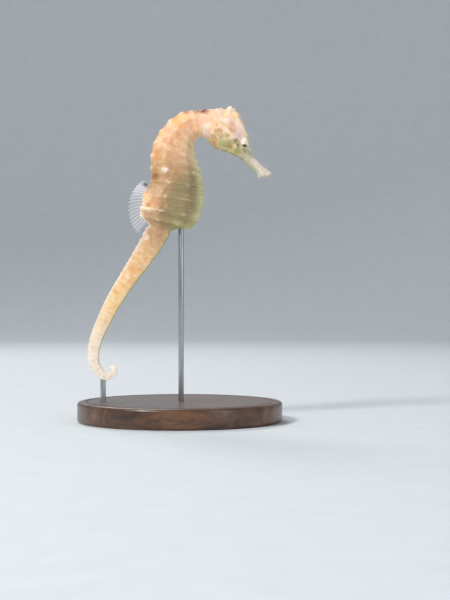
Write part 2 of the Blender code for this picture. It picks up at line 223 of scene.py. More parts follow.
def ridge_reach(skin, ridge):
    """How far along the body each ridge runs, 0 to 1."""
    start = rise(skin.ring, 0.2, 1.2)
    if ridge == SIDE_RIDGE:
        return start * fall(skin.ring, 10.6, 12.2)
    return start * fall(skin.ring, 40, 46)


def knob_mask(skin):
    """Up to 1 on the tips of the low knobs, where the ridges cross each crest."""
    random = np.random.default_rng(11)
    tall = random.uniform(0.45, 1.0, (3, len(CRESTS)))
    astray = random.uniform(-0.25, 0.25, (3, len(CRESTS)))
    tall[RIDGES.index(SIDE_RIDGE), WHITE_CREST] = 0.95
    along, crest, spacing = from_crest(skin)
    mask = np.zeros(len(skin.ring))
    for row, ridge in enumerate(RIDGES):
        size = tall[row, crest]
        around = (skin.girth - ridge - astray[row, crest]) * skin.girth_step
        reach = np.clip(0.17 * spacing, 0.22, 0.85) * (0.7 + 0.4 * size)
        mask = np.maximum(mask, bump(np.hypot(along, around), reach) * size * ridge_reach(skin, ridge))
    return mask * (skin.ring > COLLAR)


def groove_mask(skin):
    """1 in the shallow hollows between crests."""
    along, _, spacing = from_crest(skin)
    return (1 - bump(along, 0.36 * spacing)) * rise(skin.ring, -0.3, 0.6) * fall(skin.ring, 43, 46.5)


def gill_oval(skin):
    """Distance from the middle of the gill cover, 1 on its edge, and the way along and across it in mm."""
    dx, dz = skin.place[:, 0] - GILL.x, skin.place[:, 2] - GILL.z
    along = dx * cos(GILL_TILT) - dz * sin(GILL_TILT)
    across = dx * sin(GILL_TILT) + dz * cos(GILL_TILT)
    return np.hypot(along / GILL_HALF_LENGTH, across / GILL_HALF_HEIGHT), along, across


def near_line(skin, *points):
    """Distance in the side view from a line through these (x, z) points."""
    spot = skin.place[:, [0, 2]]
    best = np.full(len(spot), 1e9)
    for start, end in zip(points, points[1:]):
        start, run = np.array(start, float), np.array(end, float) - start
        t = np.clip(((spot - start) @ run) / (run @ run), 0, 1)
        best = np.minimum(best, np.linalg.norm(spot - start - t[:, None] * run, axis=1))
    return best


# ------------------------------------------------------- relief of the skin, mm
# Low points on the skin: (name, ring, girth, height, reach).
SPINES = (
    ("nose", -4.28, 0.0, 0.95, 0.95),
    ("brow", -3.25, 1.0, 0.75, 1.1),
    ("cheek", -3.25, 7.0, 0.6, 0.9),
    ("chin", -6.5, 8.0, 0.35, 0.8),
    ("nape_front", -0.5, 0.0, 0.55, 0.9),
    ("nape_rear", 0.5, 0.0, 0.5, 0.9),
    ("temple", -1.9, 1.6, 0.35, 1.2),
    ("shoulder_ring", 0.15, 3.9, 0.45, 1.1),
    ("shoulder_ring_low", 0.15, 6.4, 0.35, 0.9),
)


def spine_relief(skin):
    """The low points on head and shoulder, the same on both sides."""
    height = np.zeros(len(skin.ring))
    one_side = skin.place.copy()
    one_side[:, 1] = np.abs(one_side[:, 1])
    for name, ring, girth, tall, reach in SPINES:
        tip = Skin(*np.array([[ring], [girth], [1.0], [1.0]])).place
        height += tall * hill(np.linalg.norm(one_side - tip, axis=1), reach)
    return height


def body_relief(skin):
    """Knobs, the low ribs and ridges that join them, the hollows between, the fin's foot and the keel."""
    size = np.clip((skin.depth - 3) / 14, 0.16, 1.0)
    along, crest, spacing = from_crest(skin)
    random = np.random.default_rng(5)
    uneven = random.uniform(0.45, 1.0, (2, len(CRESTS)))[(skin.side > 0).astype(int), crest]
    body = rise(skin.ring, 0.2, 1.3) * fall(skin.ring, 42, 46.5)
    rib = bump(along, np.clip(0.13 * spacing, 0.2, 0.6)) * body * uneven
    fin_rib = bump(skin.ring - FIN_RIB, 0.16) * fall(skin.girth, 2.4, 3.8)
    ridges = sum(bump((skin.girth - ridge) * skin.girth_step, 0.55) * ridge_reach(skin, ridge)
                 for ridge in RIDGES)
    fin_foot = bump(skin.girth * skin.girth_step, 0.7)
    fin_foot *= rise(skin.ring, 7.2, 8.0) * fall(skin.ring, 10.4, 11.0)
    keel = bump((HALF - skin.girth) * skin.girth_step, 0.8)
    keel *= rise(skin.ring, 2.0, 4.0) * fall(skin.ring, 10.2, 11.2)
    return (size * (0.55 * knob_mask(skin) + 0.22 * rib + 0.30 * fin_rib + 0.10 * ridges * body
                    - 0.18 * groove_mask(skin)) + 0.30 * fin_foot + 0.22 * keel)


# Bony lines of the head in the side view: (name, height, reach, points).
HEAD_RIDGES = (
    ("gill_top", 0.38, 0.66, ((17.4, 131.8), (21.8, 129.8), (25.2, 126.4))),
    ("gill_top_crease", -0.26, 0.45, ((17.6, 130.6), (21.3, 128.7), (24.3, 125.9))),
    ("temple", 0.40, 0.60, ((18.6, 135.2), (21.5, 133.6), (24.2, 131.6))),
    ("temple_crease", -0.26, 0.45, ((18.6, 133.8), (21.4, 132.2), (24.0, 130.0))),
    ("brow", 0.42, 0.60, ((25.2, 138.0), (27.6, 133.6), (30.2, 128.4))),
    ("cheek", 0.30, 0.60, ((26.6, 123.2), (27.6, 121.0), (30.4, 118.2))),
    ("jaw", 0.36, 0.60, ((15.2, 126.4), (18.4, 122.6), (23.6, 120.6), (27.4, 118.4))),
    ("gill_rear_crease", -0.34, 0.40, ((16.0, 130.0), (15.9, 126.8), (18.0, 123.6))),
    ("snout_side", 0.10, 0.45, ((31.4, 118.4), (34.4, 115.2), (37.6, 112.2))),
)
# Pits of the head in the side view: (name, depth, reach, x, z).
HEAD_PITS = (
    ("gill_pore", 0.90, 0.42, 16.9, 132.6),
    ("temple_hollow", 0.35, 1.60, 24.6, 134.6),
    ("nostril", 0.22, 0.22, 31.5, 121.6),
)


def head_relief(skin):
    """Bony lines, the gill cover with its fan of faint ribs, the pits, the lips and soft lumps between."""
    head = fall(skin.ring, -0.4, 0.6)
    flank = rise(skin.girth, 0.7, 1.8) * fall(skin.girth, 6.8, 7.8)
    lines = sum(height * bump(near_line(skin, *points), reach) for name, height, reach, points in HEAD_RIDGES)
    oval, along, across = gill_oval(skin)
    fan = np.cos(22 * np.arctan2(across + 1.0, along - 5.0)) * fall(oval, 0.6, 1.0) * rise(oval, 0.1, 0.4)
    gill = 0.55 * hill(oval, 1.12) + 0.06 * fan
    pits = sum(depth * bump(np.hypot(skin.place[:, 0] - x, skin.place[:, 2] - z), reach)
               for name, depth, reach, x, z in HEAD_PITS)
    lips = 0.12 * bump(skin.ring + 7.02, 0.10) - 0.14 * bump(skin.ring + 6.78, 0.08)
    lumps = soft_noise(skin.place, 2.6, 3) * 0.20 + soft_noise(skin.place, 1.3, 4) * 0.09
    lumps *= rise(skin.ring, -6.5, -4.5)
    between_eyes = 0.60 * bump(skin.girth - 1.2, 0.6) * bump(skin.ring + 3.75, 0.6)
    return head * (flank * (lines + gill - pits) - between_eyes + lips + lumps)


def soft_noise(place, size, seed):
    """Smooth random hills from -1 to 1, about this size in mm."""
    random = np.random.default_rng(seed)
    total = np.zeros(len(place))
    for wave in range(10):
        way = random.normal(size=3)
        way *= 2 * pi / (2 * size) * random.uniform(0.7, 1.4) / np.linalg.norm(way)
        total += np.sin(place @ way + random.uniform(0, 2 * pi))
    return total / 4.5


EYE_HALF = (2.2, 1.9, 2.2)      # half sizes of the eyeball along, out and up, in mm
EYE_OPENING = 1.70              # radius of the lids' round opening
# The lid's profile: mm outwards from the edge of the opening, and its size there as a share of the ball.
LID_FROM_EDGE = (-1.4, -0.12, 0.0, 0.08, 0.24, 0.46, 0.7)
LID_SHARE = (0.76, 0.95, 1.00, 1.045, 1.075, 1.065, 1.12)
LID_FOOT, LID_REACH = 2.20, 3.10    # where the lid starts to ease into the cheek, and where it ends
BALL_COVER = 1.06               # the skin keeps outside a ball this much larger than the eye


def set_eye_lids(skin, place):
    """Draws the skin out over each eyeball as a low turret round an opening, and sinks it behind the ball."""
    offset = np.stack([place[:, 0] - EYE.x, place[:, 2] - EYE.z])
    away, out = np.hypot(*offset), np.abs(place[:, 1])
    near = (away < LID_REACH) & (skin.ring < -2.2) & (skin.girth < 7.2)
    past = (away - EYE_OPENING) * np.clip(np.abs(away - EYE_OPENING) / 0.25, 0.25, 1)
    snapped = EYE_OPENING + past
    offset *= np.where(near & (away > 0.5), snapped / np.maximum(away, 0.5), 1)
    share = np.interp(past, LID_FROM_EDGE, LID_SHARE)
    lid = EYE.y + share * EYE_HALF[1] * np.sqrt(np.clip(1 - (snapped / EYE_HALF[0] / share) ** 2, 0, 1))
    hug = fall(away, LID_FOOT, LID_REACH) * np.clip(skin.girth, 0, 1)
    turret = np.maximum(out, lid * hug + out * (1 - hug))
    out = np.where(near, np.where(past < 0, lid, turret), out)
    hollow = 0.45 * bump(out - 1.3, 1.1) * bump(offset[1], 2.6)       # between the two eyes, at the front
    offset[0] -= np.where(near & (offset[0] > 1.4), hollow, 0)
    level = (out - EYE.y) / EYE_HALF[1]
    clear = EYE_HALF[0] * np.sqrt(np.clip(BALL_COVER ** 2 - level ** 2, 0, None))
    covers = near & (past > 0) & (level < 0.55)
    offset *= np.where(covers, np.maximum(1, clear / np.maximum(np.hypot(*offset), 0.5)), 1)
    return np.stack([EYE.x + offset[0], np.sign(place[:, 1]) * out, EYE.z + offset[1]], 1)


CORONET_FOOT = Vector((22.9, 0, 139.0))
CORONET_LEAN = radians(20)      # forwards
CORONET_POINTS = 5
CORONET_RADIUS = 1.65
CORONET_TOP = 2.35              # height of its points above the foot


def raise_coronet(skin, place):
    """Draws the crown of the head up into a low crown of five blunt points round a shallow dish."""
    axis = np.array([sin(CORONET_LEAN), 0, cos(CORONET_LEAN)])
    side = np.array([cos(CORONET_LEAN), 0, -sin(CORONET_LEAN)])
    away = place - np.array(CORONET_FOOT)
    up, forward, left = away @ axis, away @ side, away[:, 1]
    radius = np.hypot(forward, left)
    turn = np.arctan2(left, forward)
    star = 0.5 + 0.5 * np.cos(CORONET_POINTS * (turn - pi))
    wall = fall(radius, CORONET_RADIUS - 0.25 + 0.25 * star, CORONET_RADIUS + 0.55 + 0.35 * star)
    top = CORONET_TOP - 0.40 * (1 - star) - 0.45 * fall(radius, 0.2, 1.15)
    top -= 0.35 * rise(forward, -0.5, 1.8)
    lift = np.where((up > -3.5) & (skin.ring < 0), np.maximum(top - up, 0) * wall, 0)
    return place + axis * lift[:, None]


# --------------------------------------------------------------- making the skin
def deselect_all():
    for thing in bpy.context.selected_objects:
        thing.select_set(False)


def new_piece(name):
    """Names the primitive just added, and puts its place into its mesh."""
    piece = bpy.context.object
    piece.name = piece.data.name = name
    bpy.ops.object.transform_apply(location=True, rotation=True, scale=True)
    return piece


def edit_mode(select="SELECT"):
    """Opens the active piece for editing, with all or nothing of it selected."""
    bpy.ops.object.mode_set(mode="EDIT")
    bpy.ops.mesh.select_all(action=select)


def apply_modifiers(thing):
    deselect_all()
    thing.select_set(True)
    bpy.context.view_layer.objects.active = thing
    for modifier in list(thing.modifiers):
        bpy.ops.object.modifier_apply(modifier=modifier.name)


def tube_loops():
    """(ring, share of the section) of each loop, from inside the mouth to the tail's tip."""
    loops = list(MOUTH_LOOPS)
    first = RINGS[0]
    for last, step in TUBE_STEPS:
        count = round((last - first) / step)
        start = 0 if first == RINGS[0] else 1
        loops += [(first + (last - first) * k / count, 1.0) for k in range(start, count + 1)]
        first = last
    return loops + list(TIP_LOOPS)


def straight_tube():
    """The skin laid out straight: 1 mm along +Z is one ring, and 1 mm out is the whole section."""
    loops = tube_loops()
    ring, share = loops[0]
    deselect_all()
    bpy.ops.mesh.primitive_circle_add(vertices=TUBE_AROUND, radius=share * MM, fill_type="NGON",
                                      location=(0, 0, ring * MM))
    tube = new_piece("skin")
    edit_mode()
    for (ring, share), (next_ring, next_share) in zip(loops, loops[1:]):
        bpy.ops.mesh.extrude_region_move(TRANSFORM_OT_translate={"value": (0, 0, (next_ring - ring) * MM)})
        if next_share != share:
            grow = next_share / share
            bpy.ops.transform.resize(value=(grow, grow, 1), center_override=(0, 0, next_ring * MM))
    bpy.ops.object.mode_set(mode="OBJECT")
    split = tube.modifiers.new("split", "SUBSURF")
    split.subdivision_type = "SIMPLE"
    split.levels = split.render_levels = TUBE_SPLITS
    apply_modifiers(tube)
    return tube


def vertex_places(mesh):
    places = np.empty(len(mesh.vertices) * 3)
    mesh.vertices.foreach_get("co", places)
    return places.reshape(-1, 3)


def set_places(mesh, places):
    mesh.vertices.foreach_set("co", np.ascontiguousarray(places, dtype=np.float32).ravel())
    mesh.update()


def vertex_normals(mesh):
    normals = np.empty(len(mesh.vertices) * 3, np.float32)
    mesh.vertex_normals.foreach_get("vector", normals)
    return normals.reshape(-1, 3)


def read_tube(tube):
    """Ring, girth, side and share of the section for each point of the straight tube."""
    x, y, z = (vertex_places(tube.data) / MM).T
    turn = np.arctan2(y, x)
    slice_angle = 2 * pi / TUBE_AROUND
    flat = np.cos(slice_angle / 2) / np.cos(np.mod(turn, slice_angle) - slice_angle / 2)
    share = np.clip(np.hypot(x, y) / flat, 0, 1)
    share = np.where(share > 0.985, 1.0, share)
    return z, np.abs(turn) / pi * HALF, np.where(turn < 0, -1.0, 1.0), share


def add_mask(mesh, name, values):
    layer = mesh.attributes.new(name, "FLOAT", "POINT")
    layer.data.foreach_set("value", np.ascontiguousarray(values, dtype=np.float32))


def turn_faces_out(piece):
    """Turns every face out, as the straight tube's winding may point in."""
    deselect_all()
    bpy.context.view_layer.objects.active = piece
    edit_mode()
    bpy.ops.mesh.normals_make_consistent(inside=False)
    bpy.ops.object.mode_set(mode="OBJECT")


TUBE_RADIUS = 2.5               # of the straight tube that patterns round the body are laid on


def make_skin():
    """One skin from the lips to the tail's tip.

    The straight tube is made by hand; the rings, knobs and head follow rules of
    ring and girth that no operator has, so they are set point by point.
    """
    skin_piece = straight_tube()
    mesh = skin_piece.data
    skin = Skin(*read_tube(skin_piece))
    set_places(mesh, skin.place * MM)
    turn_faces_out(skin_piece)
    whole = (skin.share > 0.95).astype(float)
    relief = body_relief(skin) + head_relief(skin) + spine_relief(skin)
    place = skin.place + vertex_normals(mesh) * (relief * whole - INSET)[:, None]
    place = set_eye_lids(skin, raise_coronet(skin, place))
    place[:, 1] = np.where(np.abs(skin.girth % HALF) < 1e-6, 0, place[:, 1])
    set_places(mesh, place * MM)
    mesh.shade_smooth()
    skin.place = place
    masks = markings(skin)
    for name, values in masks.items():
        add_mask(mesh, name, values)
    turn = pi * skin.girth / HALF
    unrolled = np.stack([skin.ring, TUBE_RADIUS * np.cos(turn), TUBE_RADIUS * skin.side * np.sin(turn)], 1)
    tube = mesh.attributes.new("tube", "FLOAT_VECTOR", "POINT")
    tube.data.foreach_set("vector", unrolled.astype(np.float32).ravel())
    add_bake_map(mesh, skin)
    mesh.materials.append(painted_skin(masks))
    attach(skin_piece, "root")
    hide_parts("mouth", "snout", "head", "coronet", "gill_cover_right", "gill_cover_left",
                "neck", "trunk_upper", "trunk_lower", "tail_base", "tail_middle", "tail_lower", "tail_curl")


def add_bake_map(mesh, skin):
    """Unrolls the skin into four upright bands side by side, cut along the keel, with a gap round each."""
    ring_ends = (RINGS[0] - 1, 2.5, 11.0, 24.0, 48.0)
    band_widths = (0.32, 0.34, 0.2, 0.14)
    gap = 0.01
    mesh.uv_layers.new(name="OFBake")
    layer = mesh.uv_layers["OFBake"]
    corner_vertex = np.empty(len(mesh.loops), np.int32)
    mesh.loops.foreach_get("vertex_index", corner_vertex)
    totals = np.empty(len(mesh.polygons), np.int32)
    mesh.polygons.foreach_get("loop_total", totals)
    face = np.repeat(np.arange(len(totals)), totals)
    ring, girth = skin.ring[corner_vertex], skin.girth[corner_vertex]
    inside = (skin.share < 1)[corner_vertex]
    mean_ring = np.bincount(face, ring) / totals
    open_side = np.where((girth > 1e-3) & (girth < HALF - 1e-3), skin.side[corner_vertex], 0)
    face_side = np.sign(np.bincount(face, open_side))[face]
    band = np.clip(np.searchsorted(ring_ends, mean_ring) - 1, 0, 3)[face]
    start, width = np.cumsum((0, *band_widths))[band], np.array(band_widths)[band]
    low, high = np.array(ring_ends)[band], np.array(ring_ends)[band + 1]
    u = start + width * (0.5 + (0.5 - 2 * gap) * face_side * girth / HALF)
    v = gap + (1 - 2 * gap) * (ring - low) / (high - low)
    v = np.where(inside & (ring < 0), v - 2 * gap * (1 - skin.share[corner_vertex]), v)
    layer.data.foreach_set("uv", np.stack([u, v], 1).astype(np.float32).ravel())


# ------------------------------------------------------------------ the markings
def markings(skin):
    """Masks from 0 to 1 that say where each colour of the coat lies."""
    ring, girth = skin.ring, skin.girth
    length = (ring - RINGS[0]) / (TAIL_TIP - RINGS[0])
    head = fall(ring, -0.6, 0.2)
    to_tail = rise(ring, 11.0, 13.0)
    oval, along, _ = gill_oval(skin)

    def line(*names):
        return np.clip(sum(bump(near_line(skin, *points), 0.8 * reach)
                           for name, height, reach, points in HEAD_RIDGES if name in names) * head, 0, 1)

    belly_edge = np.interp(ring, (2.5, 3.8, 5.2, 7.2, 9.0, 11.0), (6.8, 6.2, 5.0, 3.4, 3.4, 3.8))
    saddle_edge = np.interp(ring, (4.5, 5.2, 7.0, 7.6, 8.4, 10.4), (0.4, -1.5, -1.0, 1.6, 2.7, 2.9))
    white_tips = np.where(np.abs(crest_number(ring) - WHITE_CREST) < 0.5, 1.0, 0.0)
    nape_spots = bump(ring - 0.55, 0.36) + 0.8 * bump(ring - 1.12, 0.2) + 0.8 * bump(ring - 1.75, 0.15)
    knobs = knob_mask(skin)
    return {
        "length": length,
        "trunk": np.interp(length, (0.08, 0.13), (0.2, 1)) * np.interp(length, (0.33, 0.40), (1, 0.15)),
        "tail": np.interp(length, (0.33, 0.40), (0, 1)) * np.interp(length, (0.62, 0.80), (1, 0.35)),
        "tail_end": np.interp(length, (0.62, 0.80), (0, 1)),
        # back and back edge: painted highlight, pale cream where the light falls on the upper edges of tail
        # and trunk
        "back": fall(girth, 1.6, 3.2) * to_tail,
        "back_edge_highlight": fall(girth, 1.9, 2.7) * (1 - to_tail) * rise(ring, 7.9, 8.7),
        "saddle": rise(ring, 3.8, 6.6) * fall(ring, 10.6, 11.6) * rise(girth, saddle_edge, saddle_edge + 1.6),
        "shoulder": bump(ring - 3.6, 1.6) * fall(girth, 1.0, 3.4),
        # belly: its own olive, deepened there with painted shade on the side that faces down
        "belly": rise(girth, belly_edge, belly_edge + 2.0) * rise(ring, 3.8, 7.0) * fall(ring, 10.2, 11.6),
        "chest": rise(girth, 4.6, 6.6) * rise(ring, 1.6, 3.0) * fall(ring, 5.0, 7.0),
        "rump": bump(ring - 10.6, 0.9) * fall(girth, 5.0, 7.0),
        # keel: pale greenish cream, partly its own colour, partly a painted rim of reflected light
        "keel": rise(girth, 6.4, 7.7) * rise(ring, 2.0, 4.6) * fall(ring, 11.0, 11.6),
        # under_tail: olive, partly its own colour, partly painted shade on the tail's underside
        "under_tail": rise(girth, 5.0, 6.6) * rise(ring, 10.6, 11.6) * (1 - 0.6 * rise(ring, 26, 38)),
        # throat: olive under the jaw, partly its own colour, partly painted shade on the underside
        "throat": rise(girth, 5.4, 7.0) * head * rise(ring, -5.6, -4.4),
        "snout": fall(ring, -5.0, -3.9),
        # painted shade: grey-green olive along the underside of the snout
        "under_snout_shade": fall(ring, -4.6, -3.6) * rise(girth, 3.4, 5.6) * rise(ring, -6.6, -5.8),
        "snout_root": bump(ring + 4.35, 0.45),
        "crown": head * fall(girth, 2.6, 4.0) * rise(ring, -4.0, -3.2),
        "tail_root": bump(ring - 12.0, 1.7) * rise(girth, 1.4, 2.6) * fall(girth, 6.0, 7.2) * (ring > 10.9),
        "knob": np.clip(knobs * 1.25 - 0.2, 0, 1) * (1 - 0.65 * rise(girth, 4.0, 5.4) * (1 - to_tail)),
        "white_knob": np.clip(knobs * 1.6 - 0.3, 0, 1) * white_tips * bump(girth - SIDE_RIDGE, 0.8),
        "groove": groove_mask(skin) * rise(ring, 1.0, 3.0) * (1 - 0.65 * to_tail),
        "fin_rib": bump(ring - FIN_RIB, 0.2) * fall(girth, 2.6, 4.0),
        "nape_spot": nape_spots * fall(girth, 2.2, 3.0),
        "belly_foot": bump(ring - 10.4, 0.9) * rise(girth, 4.8, 6.2),
        "gill": fall(oval, 0.68, 1.14) * head,
        "gill_rear": bump(oval - 1.06, 0.26) * rise(-along, 0.8, 3.6) * head,
        # painted highlight along the tops of the gill and temple ridges
        "ridge_top_highlight": line("gill_top", "temple"),
        # painted shade in the creases under the ridges and behind the gill cover
        "crease": line("gill_top_crease", "temple_crease", "gill_rear_crease"),
        "collar": bump(ring - 0.22, 0.30) * rise(girth, 2.8, 5.0),
        # mouth_inside: darker the deeper into the mouth, partly its own red, partly painted shade
        "mouth_inside": 1 - skin.share,
    }


# --------------------------------------------------------------------- materials
def linear(hex_colour):
    """An sRGB hex colour as Blender's linear one."""
    shares = [int(hex_colour[k:k + 2], 16) / 255 for k in (1, 3, 5)]
    return (*(c / 12.92 if c <= 0.04045 else ((c + 0.055) / 1.055) ** 2.4 for c in shares), 1.0)


def new_material(name):
    made = bpy.data.materials.new(name)
    made.use_nodes = True
    tree = made.node_tree
    return made, tree, tree.nodes["Principled BSDF"]


def join(made, inputs):
    """Gives each input of a node a value, a hex colour, a socket, or another node's first live output."""
    for name, source in inputs.items():
        if isinstance(source, str):
            source = linear(source)
        if isinstance(source, bpy.types.Node):
            source = next(output for output in source.outputs if output.enabled)
        if isinstance(source, bpy.types.NodeSocket):
            made.id_data.links.new(source, made.inputs[name])
        else:
            made.inputs[name].default_value = source


def node(tree, kind, inputs=None, stops=None, **settings):
    """Adds a node: settings go to its properties or sockets, inputs are joined, and a ramp's stops are
    {place: hex colour}."""
    made = tree.nodes.new("ShaderNode" + kind)
    for name, value in settings.items():
        if hasattr(made, name):
            setattr(made, name, value)
        else:
            made.inputs[name.replace("_", " ")].default_value = value
    join(made, inputs or {})
    if stops:
        marks, places = made.color_ramp.elements, sorted(stops)
        marks[0].position, marks[1].position = places[0], places[-1]
        for place in places[1:-1]:
            marks.new(place)
        for mark, place in zip(marks, places):
            mark.color = linear(stops[place])
    return made


FINE_MM = 1 / MM                # noise scale that makes features about 1 mm across

# The base coat from the lips, 0, to the tail's tip, 1.
BASE_COAT = {
    0.00: "#E2DACA", 0.05: "#D0C8B2", 0.085: "#E6D0AE", 0.11: "#F8DAB8", 0.135: "#FAD2AE", 0.17: "#FCC59C",
    0.21: "#F4BE94", 0.235: "#E6B48A", 0.26: "#D6A87C", 0.33: "#C39A70", 0.38: "#DDB07A", 0.50: "#F6C486",
    0.62: "#FFD898", 0.76: "#FFEACC", 0.87: "#FFF4E6", 1.00: "#FFF8F0"}

# Coats brushed on over the base: (colour, mask, size of the mottles in mm, the noise from 0 to 1 at
# which they start and are full, strength in the mottles, strength between them).
COATS = (
    ("#F2A46C", "trunk", 3.4, 0.44, 0.62, 0.46, 0.0),
    ("#F0B394", "trunk", 2.6, 0.48, 0.66, 0.55, 0.0),
    ("#FAD590", "trunk", 2.4, 0.50, 0.66, 0.55, 0.0),
    ("#F7BE72", "shoulder", 2.8, 0.36, 0.60, 0.75, 0.20),
    ("#FFEFD6", "trunk", 1.1, 0.56, 0.70, 0.35, 0.0),
    ("#F2B878", "tail", 3.2, 0.46, 0.64, 0.60, 0.0),
    ("#D9A568", "tail", 1.6, 0.56, 0.70, 0.45, 0.0),
    ("#F0B8A8", "tail", 1.9, 0.56, 0.68, 0.35, 0.0),
    ("#FFF0D4", "tail", 2.4, 0.44, 0.72, 0.55, 0.0),
    ("#FFF2E2", "tail_end", 2.0, 0.40, 0.62, 0.70, 0.20),
    ("#EFD2C4", "tail_end", 1.2, 0.56, 0.68, 0.45, 0.0),
    ("#F2D6A4", "tail_end", 1.9, 0.52, 0.66, 0.55, 0.0),
    ("#D2CBBE", "snout", 1.6, 0.35, 0.60, 0.80, 0.35),
    ("#E0BFB6", "snout", 1.3, 0.50, 0.64, 0.70, 0.0),
    ("#F0E6C4", "snout", 1.0, 0.50, 0.64, 0.70, 0.0),
    # painted shade: grey-green olive under the snout
    ("#B4AE84", "under_snout_shade", 1.6, 0.30, 0.60, 0.80, 0.35),
    ("#C0BC92", "snout_root", 1.4, 0.30, 0.60, 0.85, 0.40),
    ("#E9D2CC", "crown", 1.9, 0.44, 0.60, 0.70, 0.10),
    ("#F6DEA4", "crown", 2.3, 0.52, 0.66, 0.65, 0.0),
    ("#D9B48E", "crown", 1.2, 0.58, 0.70, 0.45, 0.0),
    ("#E2CAA6", "chest", 2.6, 0.30, 0.62, 0.85, 0.35),
    ("#B08A60", "saddle", 3.0, 0.30, 0.62, 0.95, 0.45),
    ("#CFA276", "saddle", 1.8, 0.54, 0.66, 0.50, 0.0),
    ("#B4946C", "rump", 2.4, 0.25, 0.60, 0.90, 0.55),
    ("#C69A84", "rump", 1.6, 0.52, 0.64, 0.45, 0.0),
    # the belly's olive: partly its own colour, partly painted shade on the side that faces down and away
    ("#92855A", "belly", 3.4, 0.24, 0.60, 0.92, 0.48),
    ("#A99C78", "belly", 2.2, 0.46, 0.66, 0.55, 0.0),
    # the keel's pale greenish cream: partly its own colour, partly a painted rim of reflected light
    ("#DDE0AC", "keel", 2.2, 0.28, 0.55, 0.95, 0.55),
    ("#C4BE84", "belly_foot", 1.8, 0.30, 0.58, 0.80, 0.30),
    ("#B8906A", "tail_root", 2.2, 0.28, 0.58, 0.80, 0.30),
    # olive under the tail: partly its own colour, partly painted shade on its underside
    ("#B6B87C", "under_tail", 2.0, 0.30, 0.60, 0.95, 0.60),
    # painted highlight: pale cream along the back of the tail and the upper edge of the trunk
    ("#FFF0E4", "back", 3.0, 0.35, 0.60, 0.80, 0.30),
    ("#FFEBD0", "back_edge_highlight", 1.6, 0.32, 0.56, 0.90, 0.45),
    # the throat's olive: partly its own colour, partly painted shade under the jaw
    ("#A8A468", "throat", 2.5, 0.30, 0.65, 0.90, 0.45),
    ("#FFE7C4", "fin_rib", 1.4, 0.30, 0.55, 0.90, 0.30),
    ("#AE9E68", "gill", 2.6, 0.28, 0.56, 0.88, 0.35),
    ("#DCC898", "gill", 1.5, 0.46, 0.60, 0.80, 0.0),
    ("#9CA46C", "gill", 1.9, 0.54, 0.66, 0.60, 0.0),
    ("#C9965E", "gill_rear", 1.8, 0.25, 0.55, 0.90, 0.35),
    # painted shade: tan-brown in the creases under the head's ridges
    ("#A8854F", "crease", 1.0, 0.35, 0.60, 0.65, 0.12),
    # painted highlight along the tops of the gill and temple ridges
    ("#FBE2C8", "ridge_top_highlight", 1.2, 0.30, 0.58, 0.80, 0.22),
    ("#FBE8DE", "collar", 1.5, 0.34, 0.62, 0.80, 0.15),
)

